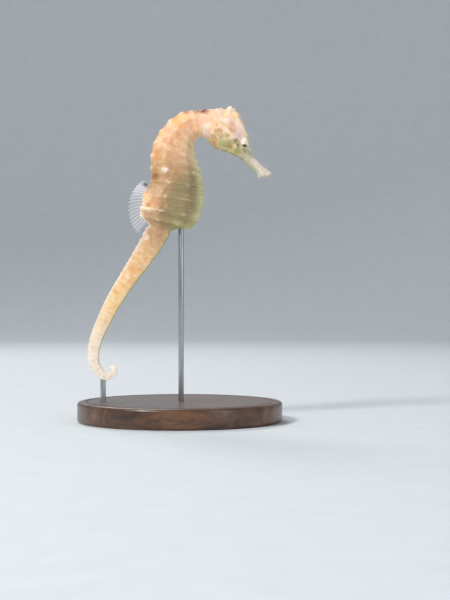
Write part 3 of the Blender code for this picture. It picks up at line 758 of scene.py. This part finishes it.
# Single marks: name, x and z in mm, reach in mm, colour and strength.
MARKS = (
    ("crown_yellow", 24.7, 136.8, 1.5, "#F4D088", 0.8),
    ("crown_green", 20.3, 138.4, 1.6, "#E8DC9C", 0.7),
    ("temple_white", 20.6, 134.9, 1.3, "#F9E2D7", 0.9),
    ("temple_blush", 23.4, 132.6, 1.9, "#F2AC88", 0.75),
    # painted shade: tan under the temple ridge
    ("temple_tan", 23.8, 130.2, 1.9, "#CD9E77", 0.8),
    ("temple_lilac", 26.0, 128.2, 1.9, "#EAC2BA", 0.9),
    # painted highlight: near-white on the brow above the eye
    ("brow_white", 28.8, 126.5, 1.3, "#FFF4E4", 1.0),
    ("brow_orange", 30.6, 126.7, 0.8, "#FFE2B7", 0.8),
    ("behind_eye", 26.3, 124.0, 1.4, "#8A6522", 0.9),
    ("behind_eye_dark", 24.9, 125.7, 1.2, "#7D6F35", 0.8),
    ("behind_eye_purple", 26.2, 122.9, 0.8, "#6E4B4E", 0.8),
    ("under_eye", 26.2, 121.4, 2.3, "#9C9855", 0.9),
    ("under_eye_grey", 28.8, 121.6, 1.2, "#A8AB84", 0.8),
    ("bridge_pale", 31.4, 122.2, 1.0, "#E6EAD8", 0.8),
    ("eye_fleck", 28.5, 122.0, 0.5, "#6B7356", 0.9),
    ("eye_fleck_low", 29.1, 120.6, 0.5, "#7F7961", 0.8),
    ("cheek_ochre", 22.4, 123.0, 1.8, "#C9AE54", 0.7),
    ("gill_fold", 18.6, 129.2, 1.2, "#C6A56D", 0.8),
    ("gill_fold_low", 18.2, 127.2, 1.2, "#B09A70", 0.7),
    ("gill_cream", 20.7, 130.1, 1.5, "#FFE2BE", 0.8),
    ("gill_cream_low", 23.4, 127.2, 1.4, "#F2DCBA", 0.8),
    ("gill_green", 19.4, 124.7, 2.0, "#B0B070", 0.7),
    ("nape_peach", 15.0, 129.6, 1.4, "#FFDCB8", 0.9),
    ("neck_salmon", 8.4, 134.6, 2.6, "#FCC2A0", 0.7),
    ("nape_cream", 12.6, 132.8, 1.6, "#FFEEDA", 0.65),
    ("neck_khaki", 7.4, 128.2, 1.3, "#CCC296", 0.8),
    ("shoulder_gold", -0.9, 134.6, 2.6, "#F0BD6F", 0.85),
    ("shoulder_orange", 0.6, 131.8, 2.2, "#FFB67D", 0.85),
    ("shoulder_salmon", -6.3, 125.3, 1.8, "#EA9262", 0.8),
    ("back_orange", -9.6, 119.6, 2.4, "#D1883E", 0.85),
    ("saddle", -11.2, 109.6, 2.2, "#945A22", 0.95),
    ("saddle_front", -10.6, 113.2, 1.6, "#BE874B", 0.7),
    ("saddle_foot", -9.6, 107.0, 1.7, "#B0885A", 0.65),
    ("side_ridge_pale", -5.0, 122.0, 1.2, "#F8D2AE", 0.7),
    ("white_blotch", -6.8, 112.3, 1.4, "#F8E6D4", 0.85),
    ("hump_cream", -14.6, 99.4, 2.2, "#F7D79F", 0.85),
    ("hump_orange", -13.8, 96.9, 1.3, "#C78330", 0.85),
    ("hump_blush", -11.7, 98.0, 2.0, "#E8A274", 0.75),
    ("flank_knob", -6.3, 100.6, 1.0, "#F5CE9B", 0.8),
    ("flank_knob_low", -6.3, 96.1, 0.9, "#DBB784", 0.7),
    ("tail_amber", -21.2, 68.9, 1.6, "#EAA466", 0.7),
    ("tail_amber_low", -28.5, 58.2, 1.7, "#F0B063", 0.7),
    ("tail_pale_top", -15.0, 82.3, 1.4, "#FEEACA", 0.7),
    ("tail_pale", -23.4, 64.8, 1.5, "#FFDEB8", 0.7),
    ("belly_pink", 6.6, 111.6, 1.2, "#EBC9B7", 0.7),
)


# Folds drawn on the belly: (colour, folds to a ring, where their noise starts, noise at which they start
# and are full; then for the 4 mm clouds they show in, noise at which those start and are full, strength
# in and between them, and where the clouds' noise starts).
BELLY_FOLDS = (
    ("#6E6038", 8.0, 0.0, 0.51, 0.60, 0.30, 0.60, 0.36, 0.12, 5.0),
    ("#C9BD94", 7.0, 3.0, 0.55, 0.62, 0.35, 0.60, 0.28, 0.00, 6.0),
)

# Coats over the marks and folds, as in COATS, with nothing between the mottles.
TOP_COATS = (
    ("#9A6A40", "groove", 1.8, 0.36, 0.62, 0.38),
    ("#6E2430", "nape_spot", 1.3, 0.36, 0.46, 0.95),
    ("#FFEEDA", "knob", 1.1, 0.32, 0.56, 0.85),
)


def painted_skin(mask_names):
    """Cast resin, air-brushed and stippled by hand under satin lacquer: soft mottling, no hard edges. Some
    coats and marks are painted shade, on the underside and in the creases, and painted highlights, along the
    back, the ridges and the brow.
    """
    made, tree, shader = new_material("painted_cast_skin")
    place = node(tree, "TexCoord").outputs["Object"]
    tube = node(tree, "Attribute", attribute_name="tube").outputs["Vector"]
    masks = {name: node(tree, "Attribute", attribute_name=name).outputs["Fac"] for name in mask_names}

    def brush(under, colour, region, size, low, high, most, least=0.0, shift=0.0, detail=3.0):
        """Brushes a coat over those before, in its region, in mottles of this size in mm."""
        spot = node(tree, "Mapping", {"Vector": place}, Location=(shift, shift, shift))
        specks = node(tree, "TexNoise", {"Vector": spot}, Scale=FINE_MM / size, Detail=detail, Roughness=0.55)
        mottles = node(tree, "MapRange", {"Value": specks}, From_Min=low, From_Max=high, To_Min=least,
                       To_Max=most)
        amount = node(tree, "Math", {0: region, 1: mottles}, operation="MULTIPLY")
        return node(tree, "Mix", {0: amount, 6: under, 7: colour}, data_type="RGBA")

    def bands(along, around, start):
        """Noise drawn out round the body: this many to a ring, and to a mm round it."""
        spot = node(tree, "Mapping", {"Vector": tube}, Location=(start, 0, 0), Scale=(along, around, around))
        return node(tree, "TexNoise", {"Vector": spot}, Scale=1.0, Detail=2.0)

    wander = node(tree, "TexNoise", {"Vector": place}, Scale=FINE_MM / 6.0, Detail=3.0, Roughness=0.55)
    wander = node(tree, "Math", {0: wander, 1: 0.03, 2: masks["length"]}, operation="MULTIPLY_ADD")
    coat = node(tree, "ValToRGB", {"Fac": wander}, stops=BASE_COAT)
    for number, (colour, name, *mottling) in enumerate(COATS):
        coat = brush(coat, colour, masks[name], *mottling, shift=0.13 * number)

    # The marks lie in the side view, their edges strayed by up to 1.6 mm each way.
    spot = node(tree, "Mapping", {"Vector": place}, Location=(0.7, 0.7, 0.7))
    stray = node(tree, "TexNoise", {"Vector": spot}, Scale=FINE_MM / 1.9, Detail=4.0, Roughness=0.6)
    wobble = node(tree, "VectorMath", {0: stray.outputs["Color"], 1: (3.2 * MM,) * 3, 2: place},
                  operation="MULTIPLY_ADD")
    flat = node(tree, "VectorMath", {0: wobble, 1: (1, 0, 1), 2: (-1.6 * MM, 0, -1.6 * MM)},
                operation="MULTIPLY_ADD")
    for name, x, z, reach, colour, strength in MARKS:
        away = node(tree, "VectorMath", {0: flat, 1: (x * MM, 0, z * MM)}, operation="DISTANCE")
        amount = node(tree, "MapRange", {"Value": away}, From_Min=1.2 * reach * MM,
                      From_Max=0.35 * reach * MM, To_Max=strength)
        coat = node(tree, "Mix", {0: amount, 6: coat, 7: colour}, data_type="RGBA")

    for colour, folds, start, low, high, *clouds, shift in BELLY_FOLDS:
        lines = node(tree, "MapRange", {"Value": bands(folds, 0.16, start)}, From_Min=low, From_Max=high)
        region = node(tree, "Math", {0: masks["belly"], 1: lines}, operation="MULTIPLY")
        coat = brush(coat, colour, region, 4.0, *clouds, shift=shift)
    for colour, name, *mottling in TOP_COATS:
        coat = brush(coat, colour, masks[name], *mottling)
    coat = node(tree, "Mix", {0: masks["white_knob"], 6: coat, 7: "#F8E2D0"}, data_type="RGBA")
    plain = node(tree, "MapRange", {"Value": masks["belly"]}, To_Min=1.0, To_Max=0.35)
    coat = brush(coat, "#FFFAEC", plain, 0.5, 0.60, 0.72, 0.30, shift=0.9, detail=2.0)
    dots = node(tree, "TexVoronoi", {"Vector": place}, Scale=FINE_MM / 0.75)
    dots = node(tree, "MapRange", {"Value": dots}, From_Min=0.22, From_Max=0.12)
    coat = brush(coat, "#9A6238", dots, 1.5, 0.50, 0.62, 0.45, shift=1.7)
    # dark red-brown inside the mouth, stronger deeper in: partly its own colour, partly painted shade
    coat = node(tree, "Mix", {0: masks["mouth_inside"], 6: coat, 7: "#5A2F28"}, data_type="RGBA")

    spot = node(tree, "Mapping", {"Vector": place}, Location=(7.0, 7.0, 7.0))
    grain = node(tree, "TexNoise", {"Vector": spot}, Scale=FINE_MM / 0.28, Detail=2.0)
    lumps = node(tree, "TexNoise", {"Vector": place}, Scale=FINE_MM / 1.1, Detail=4.0, Roughness=0.6)
    height = node(tree, "Math", {0: grain, 1: lumps}, operation="ADD")
    deep = node(tree, "MapRange", {"Value": masks["belly"]}, To_Min=0.8, To_Max=2.2)
    height = node(tree, "Math", {0: bands(8.0, 0.4, 1.0), 1: deep, 2: height}, operation="MULTIPLY_ADD")
    join(shader, {
        "Base Color": coat,
        "Normal": node(tree, "Bump", {"Height": height}, Strength=0.5, Distance=0.14 * MM),
        "Roughness": node(tree, "MapRange", {"Value": lumps}, From_Min=0.3, From_Max=0.7, To_Min=0.38,
                          To_Max=0.56),
        "IOR": 1.46,
        "Subsurface Weight": 0.10,
        "Subsurface Radius": (1.0 * MM, 0.5 * MM, 0.3 * MM),
        "Subsurface Scale": 1.0})
    return made


# -------------------------------------------------------------------------- eyes
PUPIL_HALF = (0.92, 0.52)       # half its length and height, in mm
PUPIL_TILT = radians(12)        # its front end lies lower
PUPIL_DROP = 0.45               # how far below the ball's middle it sits, in mm


def painted_eye():
    """Acrylic eye over a painted iris: gold-flecked cream, a dark level pupil, and a clear gloss coat."""
    made, tree, shader = new_material("painted_acrylic_eye")
    place = node(tree, "TexCoord").outputs["Object"]
    flat = node(tree, "Mapping", {"Vector": place}, Location=(-EYE.x * MM, 0, -EYE.z * MM), Scale=(1, 0, 1))
    x, _, z = node(tree, "SeparateXYZ", {"Vector": flat}).outputs
    radius = node(tree, "VectorMath", {0: flat}, operation="LENGTH")
    gaze = node(tree, "Mapping", {"Vector": flat}, Location=(0, 0, PUPIL_DROP * MM))
    level = node(tree, "VectorRotate", {"Vector": gaze}, rotation_type="Y_AXIS", Angle=-PUPIL_TILT)
    half_length, half_height = PUPIL_HALF
    pupil = node(tree, "Mapping", {"Vector": level}, Scale=(FINE_MM / half_length, 0, FINE_MM / half_height))
    pupil = node(tree, "VectorMath", {0: pupil}, operation="LENGTH")
    turn = node(tree, "Math", {0: z, 1: x}, operation="ARCTAN2")
    spokes = node(tree, "CombineXYZ", {"X": turn, "Y": radius})
    spokes = node(tree, "Mapping", {"Vector": spokes}, Scale=(5.0, FINE_MM / 1.2, 1))
    rays = node(tree, "TexNoise", {"Vector": spokes}, noise_dimensions="2D", Scale=1.0, Detail=2.0)
    specks = node(tree, "TexNoise", {"Vector": place}, Scale=FINE_MM / 0.6, Detail=2.0)
    iris = node(tree, "Math", {0: radius, 1: EYE_HALF[0] * MM}, operation="DIVIDE")
    iris = node(tree, "ValToRGB", {"Fac": iris}, stops={
        0.0: "#6E5C34", 0.30: "#A8965E", 0.42: "#CFC4A0", 0.66: "#D3C8A6", 0.82: "#CDBE98", 1.0: "#BBA884"})
    for colour, source, start, full, strength in (
            ("#A09468", rays, 0.45, 0.62, 0.40),
            ("#9A9C7E", z, -0.2 * MM, -1.4 * MM, 0.60),     # shade below
            ("#EFE7D8", z, -0.1 * MM, 0.8 * MM, 0.85),      # light above
            ("#A8925E", x, -0.5 * MM, -1.9 * MM, 0.85),     # gold behind
            ("#7E8566", specks, 0.50, 0.74, 0.36),
            ("#1A110C", pupil, 1.12, 0.90, 1.0)):
        amount = node(tree, "MapRange", {"Value": source}, From_Min=start, From_Max=full, To_Max=strength)
        iris = node(tree, "Mix", {0: amount, 6: iris, 7: colour}, data_type="RGBA")
    join(shader, {"Base Color": iris, "Roughness": 0.30, "Coat Weight": 1.0, "Coat Roughness": 0.03})
    return made


def make_eyes():
    """Each eye is a ball, a little flatter than it is tall, behind the round opening of its lids."""
    look = painted_eye()
    for side, out in SIDES:
        deselect_all()
        centre = Vector((EYE.x, out * EYE.y, EYE.z)) * MM
        bpy.ops.mesh.primitive_uv_sphere_add(segments=48, ring_count=24, radius=MM, location=centre,
                                             rotation=(pi / 2, 0, 0))
        bpy.context.object.scale = (EYE_HALF[0], EYE_HALF[2], EYE_HALF[1])
        eye = new_piece("eyeball_" + side)
        eye.data.shade_smooth()
        eye.data.materials.append(look)
        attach(eye, "root")
        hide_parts("eye_" + side)


# -------------------------------------------------------------------------- fins
FIN_THICKNESS = 0.14            # in mm
RAY_SPLITS = 6                  # strips from one ray to the next
RAY_LENGTH_SPLITS = 16


def fin_film():
    """Thin clear film cast over fine rays: milky where rays run, almost clear in the webs between."""
    made, tree, shader = new_material("cast_fin_film")
    ray, smudge, milky = (node(tree, "Attribute", attribute_name=name).outputs["Fac"]
                          for name in ("ray", "smudge", "milky"))
    place = node(tree, "TexCoord").outputs["Object"]
    cloud = node(tree, "TexNoise", {"Vector": place}, Scale=FINE_MM / 1.5, Detail=3.0)
    web = node(tree, "Mix", {0: ray, 6: "#E6E6EE", 7: "#FFFBF6"}, data_type="RGBA")
    stain = node(tree, "Mix", {0: smudge, 6: web, 7: "#332C3C"}, data_type="RGBA")
    dense = node(tree, "Math", {0: ray, 1: 0.62, 2: milky}, operation="MULTIPLY_ADD")
    dense = node(tree, "Math", {0: cloud, 1: milky, 2: dense}, operation="MULTIPLY_ADD")
    dense = node(tree, "Math", {0: dense, 1: smudge}, operation="MAXIMUM", use_clamp=True)
    join(shader, {"Base Color": stain, "Alpha": dense, "Roughness": 0.32, "IOR": 1.42})
    return made


# A fan of rays: (x, z) of the first and last root, their directions and bend in degrees, lengths of the
# first, middle and last ray in mm, and their count.  A fin on one side, -1 right or 1 left, leaves the
# body hinge_y mm from the middle and spreads from it by this many degrees.
Fin = namedtuple("Fin", "name roots rays bend lengths count hinge_y spread side", defaults=(0.0, 0.0, 0))
FINS = (
    Fin("dorsal_fin", ((-13.0, 105.2), (-13.6, 90.6)), (138, 228), 44, (4.8, 10.3, 8.6), 18),
    Fin("anal_fin", ((-1.6, 85.8), (-3.4, 85.2)), (262, 248), 6, (2.0, 2.5, 2.0), 4),
    *(Fin("pectoral_fin_" + word, ((14.8, 131.6), (15.4, 128.0)), (126, 214), 8, (3.4, 5.0, 3.6), 15,
          3.6, 24, side) for word, side in SIDES),
)


def make_fin(fin, look):
    """A strip of film is laid flat, fanned out over its rays, and thickened."""
    deselect_all()
    across = (fin.count - 1) * RAY_SPLITS
    bpy.ops.mesh.primitive_grid_add(x_subdivisions=across, y_subdivisions=RAY_LENGTH_SPLITS, size=2 * MM)
    film = new_piece(fin.name + "_film")
    t, reach = np.clip((vertex_places(film.data)[:, :2] / MM + 1) / 2, 0, 1).T
    first, middle, last = fin.lengths
    length = first * (1 - t) * (1 - 2 * t) + middle * 4 * t * (1 - t) + last * t * (2 * t - 1)
    ray_number = t * (fin.count - 1)
    from_ray = np.abs(ray_number - np.round(ray_number))
    edge = 0.985 * (1 - 0.035 * (1 - np.cos(2 * pi * ray_number)) * rise(reach, 0.8, 1.0))
    bend = np.radians(fin.bend * (0.3 + 0.7 * np.sin(pi * t)))
    start = np.radians(fin.rays[0] + (fin.rays[1] - fin.rays[0]) * t) - bend / 2
    out = length * edge / bend
    (x0, z0), (x1, z1) = fin.roots
    x = x0 + (x1 - x0) * t + (np.sin(start + bend * reach) - np.sin(start)) * out
    z = z0 + (z1 - z0) * t + (np.cos(start) - np.cos(start + bend * reach)) * out
    y = 0.35 * np.sin(3 * pi * t + 0.6) * reach ** 1.5 * (0.4 if fin.side else 1)       # its soft waves
    if fin.side:
        hinge, turn = (x0 + x1) / 2, radians(fin.spread)
        y += fin.side * (fin.hinge_y - (x - hinge) * sin(turn))
        x = hinge + (x - hinge) * cos(turn)
    set_places(film.data, np.stack([x, y, z], 1) * MM)
    dorsal = fin.name == "dorsal_fin"
    add_mask(film.data, "ray", hill(from_ray, 0.20) * (1 - 0.6 * reach) * (0.28 if fin.side else 0.9))
    add_mask(film.data, "milky", 0.07 + 0.22 * fall(t, 0.15, 0.5) if dorsal else np.full(len(t), 0.02))
    add_mask(film.data, "smudge", 0.95 * bump(t - 0.06, 0.06) * bump(reach - 0.55, 0.28) * dorsal)
    thick = film.modifiers.new("thickness", "SOLIDIFY")
    thick.thickness = FIN_THICKNESS * MM
    thick.offset = 0
    apply_modifiers(film)
    film.data.shade_smooth()
    film.data.materials.append(look)
    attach(film, "root")
    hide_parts(fin.name)


# ------------------------------------------------------------------------- stand
def lacquered_walnut():
    """Walnut turned on a lathe and lacquered satin: long dark grain lines with fine pores."""
    made, tree, shader = new_material("lacquered_walnut")
    place = node(tree, "TexCoord").outputs["Object"]
    long_grain = node(tree, "Mapping", {"Vector": place}, Scale=(0.12, 1.0, 1.0))
    bands = node(tree, "TexNoise", {"Vector": long_grain}, Scale=FINE_MM / 7.0, Detail=6.0, Roughness=0.62,
                 Distortion=0.35)
    colour = node(tree, "ValToRGB", {"Fac": bands},
                  stops={0.30: "#2C1A10", 0.45: "#4A2E1C", 0.55: "#5E3C25", 0.72: "#7A5436"})
    pore_grain = node(tree, "Mapping", {"Vector": place}, Scale=(0.06, 1.0, 1.0))
    pores = node(tree, "TexNoise", {"Vector": pore_grain}, Scale=FINE_MM / 0.6, Detail=2.0)
    dark = node(tree, "MapRange", {"Value": pores}, From_Min=0.58, From_Max=0.66, To_Max=0.55)
    join(shader, {
        "Base Color": node(tree, "Mix", {0: dark, 6: colour, 7: "#1E120B"}, data_type="RGBA"),
        "Normal": node(tree, "Bump", {"Height": pores}, Strength=0.12, Distance=0.05 * MM),
        "Roughness": node(tree, "MapRange", {"Value": bands}, To_Min=0.30, To_Max=0.42),
        "Coat Weight": 0.35,
        "Coat Roughness": 0.18})
    return made


def brushed_steel():
    """Stainless rod, drawn and brushed along its length: fine streaks that stretch the highlight."""
    made, tree, shader = new_material("brushed_stainless_rod")
    place = node(tree, "TexCoord").outputs["Object"]
    streaks = node(tree, "Mapping", {"Vector": place}, Scale=(1.0, 1.0, 0.02))
    lines = node(tree, "TexNoise", {"Vector": streaks}, Scale=FINE_MM / 0.15, Detail=3.0)
    join(shader, {
        "Base Color": node(tree, "ValToRGB", {"Fac": lines}, stops={0.3: "#8E9092", 0.7: "#C9CACB"}),
        "Normal": node(tree, "Bump", {"Height": lines}, Strength=0.1, Distance=0.02 * MM),
        "Roughness": node(tree, "MapRange", {"Value": lines}, To_Min=0.22, To_Max=0.40),
        "Metallic": 1.0})
    return made


def round_edges(piece, width, segments):
    """Rounds the sharp edges by a width in mm, and shades the rest smooth."""
    edge = piece.modifiers.new("rounded", "BEVEL")
    edge.width = width * MM
    edge.segments = segments
    edge.limit_method = "ANGLE"
    edge.angle_limit = radians(60)
    apply_modifiers(piece)
    piece.data.shade_smooth()
    piece.data.set_sharp_from_angle(angle=radians(35))


def make_base(look):
    """A turned disc: the top face is inset for a shallow bead, and the edges are rounded."""
    low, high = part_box("stand_base")
    radius, height = (high.x - low.x) / 2, high.z - low.z
    deselect_all()
    bpy.ops.mesh.primitive_cylinder_add(vertices=160, radius=radius, depth=height,
                                        location=(0, 0, height / 2))
    base = new_piece("turned_base")
    edit_mode("DESELECT")
    bpy.ops.object.mode_set(mode="OBJECT")
    for face in base.data.polygons:
        face.select = face.normal.z > 0.9
    bpy.ops.object.mode_set(mode="EDIT")
    for width, lift in ((3.2, 0), (0.5, -0.45), (0.5, 0), (0.5, 0.45), (8, 0)):
        bpy.ops.mesh.inset(thickness=width * MM, depth=lift * MM)
    bpy.ops.object.mode_set(mode="OBJECT")
    round_edges(base, 1.4, 5)
    base.data.materials.append(look)
    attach(base, "root")
    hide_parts("stand_base")


def make_rod(node_name, look):
    """A straight rod as long and thick as its node, with its rims rounded."""
    low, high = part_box(node_name)
    deselect_all()
    bpy.ops.mesh.primitive_cylinder_add(vertices=48, radius=(high.x - low.x) / 2, depth=high.z - low.z,
                                        location=(low + high) / 2)
    rod = new_piece(node_name.replace("stand_", "steel_"))
    round_edges(rod, 0.2, 3)
    rod.data.materials.append(look)
    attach(rod, "root")
    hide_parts(node_name)


# ------------------------------------------------------------------------ studio
CAMERA_PLACE = (20.25, -600, 54.45)     # in mm
CAMERA_LENS = 80
FLOOR_RADIUS, COVE_RADIUS, WALL_HEIGHT = 1.2, 0.6, 0.9       # in metres
COVE_STEPS = 8
# Soft lamps aimed at the model: (name, place, width across in metres, power in watts).
LAMPS = (
    ("key", (-0.7, -0.7, 0.85), 0.32, 12.5),
    ("fill", (0.9, -0.7, 0.35), 0.70, 2.2),
    ("rim", (-0.3, 0.8, 0.90), 0.45, 6.0),
)
LAMP_TARGET = Vector((0, 0, 0.08))


def pale_paper():
    """Seamless backdrop paper: matt, pale and very slightly fibrous."""
    made, tree, shader = new_material("backdrop_paper")
    place = node(tree, "TexCoord").outputs["Object"]
    fibre = node(tree, "TexNoise", {"Vector": place}, Scale=FINE_MM / 12, Detail=4.0)
    paper = node(tree, "ValToRGB", {"Fac": fibre}, stops={0.3: "#CDD1D4", 0.7: "#D1D5D8"})
    join(shader, {"Base Color": paper, "Roughness": 0.9})
    return made


def make_floor():
    """A round paper floor whose edge sweeps up in a cove to a low wall all round."""
    deselect_all()
    bpy.ops.mesh.primitive_circle_add(vertices=96, radius=FLOOR_RADIUS, fill_type="NGON")
    floor = new_piece("studio_floor")
    edit_mode()
    radius, height = FLOOR_RADIUS, 0.0
    for step in range(1, COVE_STEPS + 1):
        turn = step / COVE_STEPS * pi / 2
        next_radius, next_height = FLOOR_RADIUS + COVE_RADIUS * sin(turn), COVE_RADIUS * (1 - cos(turn))
        bpy.ops.mesh.extrude_region_move(TRANSFORM_OT_translate={"value": (0, 0, next_height - height)})
        grow = next_radius / radius
        bpy.ops.transform.resize(value=(grow, grow, 1), center_override=(0, 0, next_height))
        radius, height = next_radius, next_height
    bpy.ops.mesh.extrude_region_move(TRANSFORM_OT_translate={"value": (0, 0, WALL_HEIGHT)})
    bpy.ops.mesh.delete(type="ONLY_FACE")
    bpy.ops.object.mode_set(mode="OBJECT")
    floor.data.shade_smooth()
    floor.data.materials.append(pale_paper())


def make_studio():
    """The pale sky light, three soft lamps and the camera."""
    world = bpy.data.worlds.new("studio")
    world.use_nodes = True
    join(world.node_tree.nodes["Background"], {"Color": (0.92, 0.96, 1.0, 1), "Strength": 0.42})
    bpy.context.scene.world = world

    for name, place, size, power in LAMPS:
        lamp = bpy.data.lights.new(name, "AREA")
        lamp.shape = "DISK"
        lamp.size = size
        lamp.energy = power
        holder = bpy.data.objects.new(name, lamp)
        holder.location = place
        holder.rotation_euler = (LAMP_TARGET - Vector(place)).to_track_quat("-Z", "Y").to_euler()
        bpy.context.scene.collection.objects.link(holder)

    lens = bpy.data.cameras.new("camera")
    lens.lens = CAMERA_LENS
    lens.clip_start = 0.01
    camera = bpy.data.objects.new("camera", lens)
    camera.location = Vector(CAMERA_PLACE) * MM
    camera.rotation_euler = (pi / 2, 0, 0)
    bpy.context.scene.collection.objects.link(camera)
    bpy.context.scene.camera = camera
    bpy.context.scene.view_settings.view_transform = "Standard"


make_floor()
make_studio()
make_skin()
make_eyes()
film_look = fin_film()
for each_fin in FINS:
    make_fin(each_fin, film_look)
make_base(lacquered_walnut())
steel = brushed_steel()
for rod_node in ("stand_rod_belly", "stand_rod_tail"):
    make_rod(rod_node, steel)
